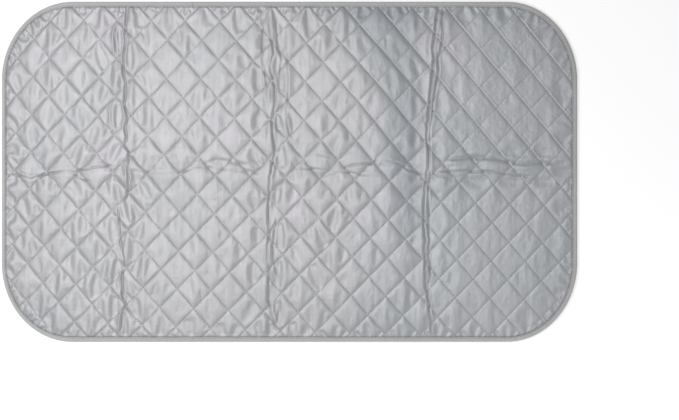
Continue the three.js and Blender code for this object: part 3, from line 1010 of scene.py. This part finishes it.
def add_batting():
    """The padding: one closed sheet in three pieces that fills the space between the two cloths."""
    flat, quads, _ = cloth_grid(BATTING_ROWS)
    shape = relief(*flat.T)
    reach = BATTING_CREASE_REACH
    beside = [(0, 0), (reach, 0), (-reach, 0), (0, reach), (0, -reach)]
    deepest = np.min([crease_relief(flat[:, 0] + dx, flat[:, 1] + dy) for dx, dy in beside], axis=0)
    room = shape["top"] - shape["folded"] - shape["under"]
    filled = shape["under"] + BATTING_FILL * room + BATTING_CREASE * deepest
    filled = np.maximum(filled, shape["under"] + 2 * BATTING_GAP)
    part = part_of(flat[quads].mean(axis=1)[:, 0])
    for number, side in enumerate(PARTS):
        used, faces, (top, under) = only(flat, quads[part == number], filled, shape["under"])
        rim, count = rim_edges(faces), len(used)
        walls = np.column_stack([rim[:, 1], rim[:, 0], rim[:, 0] + count, rim[:, 1] + count])
        points = np.concatenate([np.column_stack([used, top]), np.column_stack([used, under + BATTING_GAP])])
        faces = np.concatenate([faces, faces[:, ::-1] + count, walls])
        piece = add_piece(f"batting_{side}", "batting", number, points, faces,
                          {"rest": rest_layer(points)}, nodes_of("batting", number))


# The binding tape

def tape_sections():
    """The folded tape's outer and inner contours, from the lower leg's edge round to the upper's."""
    middle = TAPE_TOP / 2
    turn = np.linspace(-math.pi / 2, math.pi / 2, TAPE_TURN_STEPS + 1)
    legs, drop = np.array(TAPE_LEG).T
    contours = []
    for inset, sunk in ((0, drop), (TAPE_THICKNESS, -drop * TAPE_INNER_SINKS)):
        contour = [(leg, inset + down) for leg, down in zip(legs, sunk)]
        contour += [(TAPE_BULGE - (TAPE_BULGE - inset) * math.cos(angle),
                     middle + (middle - inset) * math.sin(angle)) for angle in turn]
        contour += [(leg, TAPE_TOP - inset - down) for leg, down in zip(legs[::-1], sunk[::-1])]
        contours.append(np.array(contour))
    return contours


def tape_surface(outline, inwards, section):
    """The tape's points, a ring for each place on the outline, and its distance round the pad there."""
    x, y = outline.T
    lift = relief(*(outline + inwards * TAPE_LIES_ON).T)["broad"]
    place = edge_place(x, y)
    wander = TAPE_WANDER * noise_along(place, TAPE_WANDER_STEP, 8.5, 1)
    pucker = TAPE_PUCKER * np.cos(2 * math.pi * place / STITCH_PITCH)
    share = section[:, 0] / TAPE_WIDTH
    inset = section[None, :, 0] + wander[:, None] * share[None, :] ** 2
    upper = np.sign(section[:, 1] - TAPE_TOP / 2) * smooth(*TAPE_PUCKERS, share)
    height = section[None, :, 1] + lift[:, None] + pucker[:, None] * np.maximum(upper, 0)[None, :]
    sides = [outline[:, axis, None] + inwards[:, axis, None] * inset for axis in (0, 1)]
    return np.stack([*sides, height], axis=2), place


def add_binding():
    outline, inwards = outline_points(TAPE_STEP)
    outer, inner = tape_sections()
    section = np.concatenate([outer, inner[::-1]])
    rings, around = len(outline), len(section)
    points, place = tape_surface(outline, inwards, section)
    round_section = lengths_along(section)
    rest = np.zeros_like(points)
    rest[:, :, 0] = place[:, None]
    rest[:, :, 1] = round_section[None, :]
    index = np.arange(rings * around).reshape(rings, around)
    quads = tube_quads(index, np.roll(index, -1, axis=0))
    x, y = outline.T
    part = part_of((x + np.roll(x, -1)) / 2)
    groups = [("left", 0, part == 0, ["binding_1"]),
              ("middle_front", 1, (part == 1) & (y < 0), ["binding_2_front", "binding_3_front"]),
              ("middle_back", 1, (part == 1) & (y > 0), ["binding_2_back", "binding_3_back"]),
              ("right", 2, part == 2, ["binding_4"])]
    for name, number, chosen, covered in groups:
        order = np.flatnonzero(chosen)
        start = next(ring for ring in order if not chosen[ring - 1])
        end = next((ring + 1) % rings for ring in order if not chosen[(ring + 1) % rings])
        faces = np.concatenate([quads[chosen].reshape(-1, 4), *end_caps(index[start], index[end])])
        own, faces, (own_rest,) = only(points.reshape(-1, 3), faces, rest.reshape(-1, 3))
        piece = add_piece(f"binding_{name}", "binding_tape", number, own, faces, {"rest": own_rest}, covered)


# Stitches

def thread_loops(starts, ends, up, shape):
    """Short rounded lengths of thread, each from a start to an end: their points, quads and rest layer."""
    way = ends - starts
    way_unit = way / np.linalg.norm(way, axis=1, keepdims=True)
    beside = np.cross(np.broadcast_to([0.0, 0.0, up], starts.shape), way_unit)
    beside /= np.linalg.norm(beside, axis=1, keepdims=True)
    raised = np.cross(way_unit, beside)
    sides, count = shape["sides"], len(shape["shares"])
    angles = np.arange(sides) * 2 * math.pi / sides
    around = (np.cos(angles)[None, :, None] * beside[:, None, :]
              + np.sin(angles)[None, :, None] * raised[:, None, :])
    rings = []
    for share, rise, width in zip(shape["shares"], shape["rises"], shape["widths"]):
        centre = starts + way * share + raised * (rise * MM)
        rings.append(centre[:, None, :] + THREAD_RADIUS * width * around)
    points = np.stack(rings, axis=1)
    index = np.arange(len(starts) * count * sides).reshape(len(starts), count, sides)
    quads = tube_quads(index[:, :-1], index[:, 1:]).reshape(-1, 4)
    caps = end_caps(index[:, 0], index[:, -1])
    along = np.broadcast_to(np.array(shape["shares"])[None, :, None], index.shape) * STITCH_LENGTH
    turn = np.broadcast_to(angles[None, None, :], index.shape) * THREAD_RADIUS
    rest = np.stack([along, turn, np.zeros(index.shape)], axis=3)
    return points.reshape(-1, 3), np.concatenate([quads, *caps]), rest.reshape(-1, 3)


def stitch_places():
    """The start and end of each quilting stitch, on every stitch line inside the binding."""
    starts, ends = [], []
    for family in (0, 1):
        for number in range(-LINE_RANGE + 1, LINE_RANGE):
            spacing = (FALLING if family == 0 else RISING)["spacing"]
            reach = np.arange(-LINE_RANGE * spacing, LINE_RANGE * spacing, STITCH_PITCH) / spacing
            for side, share in ((starts, 0), (ends, STITCH_LENGTH / STITCH_PITCH)):
                other = reach + share * STITCH_PITCH / spacing
                own = np.full_like(other, number)
                x, y = place_of(own, other) if family == 0 else place_of(other, own)
                side.append(np.column_stack([x, y]))
    starts, ends = np.concatenate(starts), np.concatenate(ends)
    clear = TAPE_WIDTH + STITCH_CLEARANCE
    kept = (edge_distance(*starts.T) > clear) & (edge_distance(*ends.T) > clear)
    return starts[kept], ends[kept]


def add_stitches(name, starts, ends, levels, up, shape):
    """Stitches between places on the cloth at the heights of their two ends, in three pieces."""
    part = part_of((starts[:, 0] + ends[:, 0]) / 2)
    starts, ends = np.column_stack([starts, levels[0]]), np.column_stack([ends, levels[1]])
    for number, side in enumerate(PARTS):
        chosen = part == number
        points, faces, rest = thread_loops(starts[chosen], ends[chosen], up, shape)
        add_piece(f"{name}_{side}", "thread", number, points, faces, {"rest": rest})


def add_quilting_stitches():
    places = stitch_places()
    levels = [relief(*place.T) for place in places]
    for name, face, up, shape in (("quilting_stitches", "top", 1, NEEDLE_STITCH),
                                  ("bobbin_stitches", "under", -1, BOBBIN_STITCH)):
        add_stitches(name, *places, [level[face] for level in levels], up, shape)


def add_binding_stitches():
    outline, inwards = outline_points(TAPE_STEP / 2)
    length = lengths_along(outline)
    count = int(length[-1] / STITCH_PITCH)
    line = outline + inwards * TAPE_STITCH_INSET
    marks = np.arange(count) * length[-1] / count
    places = [np.column_stack([np.interp(marks + shift, length, line[:, axis]) for axis in (0, 1)])
              for shift in (0, STITCH_LENGTH * TAPE_STITCH_SHARE)]
    lifts = [relief(*place.T)["broad"] for place in places]
    for side, base, up in (("top", TAPE_STITCH_TOP, 1), ("under", TAPE_STITCH_UNDER, -1)):
        add_stitches(f"tape_stitches_{side}", *places, [lift + base for lift in lifts], up, TAPE_STITCH)


add_cover()
add_backing()
add_batting()
add_binding()
add_quilting_stitches()
add_binding_stitches()
for piece, part in pieces:
    bend(piece)


# The stage: a white floor, soft light from the upper left, and the camera

FLOOR_HALF = 30.0
FLOOR_DROP = 0.3 * MM
FLOOR_GLOW = 0.42
WORLD_LIGHT = 0.38
LAMPS = [("key", (-0.66, 0.03, 0.9), (0.85, 0.7), 4.4), ("accent", (-0.6, 0.12, 1.0), (0.3, 0.3), 1.15),
         ("fill", (0.7, -0.9, 0.8), (0.6, 0.6), 3.5)]
CAMERA_TILT = math.acos(0.896)
CAMERA_DISTANCE = 20.0
VIEW_WIDTH = 0.899
PICTURE_WIDTH = 679
PICTURE_CENTRE = (339.5, 210)
PAD_CENTRE_PIXEL = (289.15, 171.85)


def add_floor():
    """A pale floor that glows a little to the camera and in reflections, so that it stays white."""
    pale = Shader("floor")
    rays = pale.add("LightPath", "Is Camera Ray", {}).node.outputs
    seen = pale.maths("MAXIMUM", rays["Is Camera Ray"], rays["Is Glossy Ray"])
    pale.fill(pale.surface, {
        "Base Color": (0.86, 0.86, 0.86, 1), "Roughness": 0.9, "Specular IOR Level": 0.1,
        "Emission Color": (1, 1, 1, 1), "Emission Strength": pale.maths("MULTIPLY", seen, FLOOR_GLOW)})
    corners = [(-1, -1), (1, -1), (1, 1), (-1, 1)]
    points = np.array([(x * FLOOR_HALF, y * FLOOR_HALF, -FLOOR_DROP) for x, y in corners])
    floor = add_mesh("floor", points, np.array([[0, 1, 2, 3]]))
    floor.data.materials.append(pale.material)


def add_lamp(name, place, size, power):
    """A soft box at a place, turned to the pad's middle."""
    lamp = bpy.data.lights.new(name, "AREA")
    lamp.shape = "RECTANGLE"
    lamp.size, lamp.size_y = size
    lamp.energy = power
    holder = add_object(name, lamp)
    holder.location = place
    holder.rotation_mode = "QUATERNION"
    holder.rotation_quaternion = Vector(place).to_track_quat("Z", "Y")


def add_camera():
    """Parallel rays, because both ends of the pad are equally high in the photograph, and tilted along
    the pad, because it looks shorter there than it is."""
    data = bpy.data.cameras.new("camera")
    data.type = "ORTHO"
    data.ortho_scale = VIEW_WIDTH
    data.clip_start, data.clip_end = 0.1, 60
    camera = add_object("camera", data)
    camera.rotation_euler = (0, CAMERA_TILT, 0)
    back = Vector((math.sin(CAMERA_TILT), 0, math.cos(CAMERA_TILT)))
    right = Vector((math.cos(CAMERA_TILT), 0, -math.sin(CAMERA_TILT)))
    pixel = VIEW_WIDTH / PICTURE_WIDTH
    shift_right = (PICTURE_CENTRE[0] - PAD_CENTRE_PIXEL[0]) * pixel
    shift_down = (PICTURE_CENTRE[1] - PAD_CENTRE_PIXEL[1]) * pixel
    target = Vector((0, 0, SEAM_TOP)) + right * shift_right - Vector((0, 1, 0)) * shift_down
    camera.location = target + back * CAMERA_DISTANCE
    bpy.context.scene.camera = camera


def add_world():
    world = bpy.data.worlds.new("world")
    world.use_nodes = True
    background = world.node_tree.nodes["Background"]
    background.inputs["Color"].default_value = (1, 1, 1, 1)
    background.inputs["Strength"].default_value = WORLD_LIGHT
    bpy.context.scene.world = world


add_floor()
add_world()
for lamp in LAMPS:
    add_lamp(*lamp)
add_camera()
bpy.context.scene.view_settings.view_transform = "Standard"
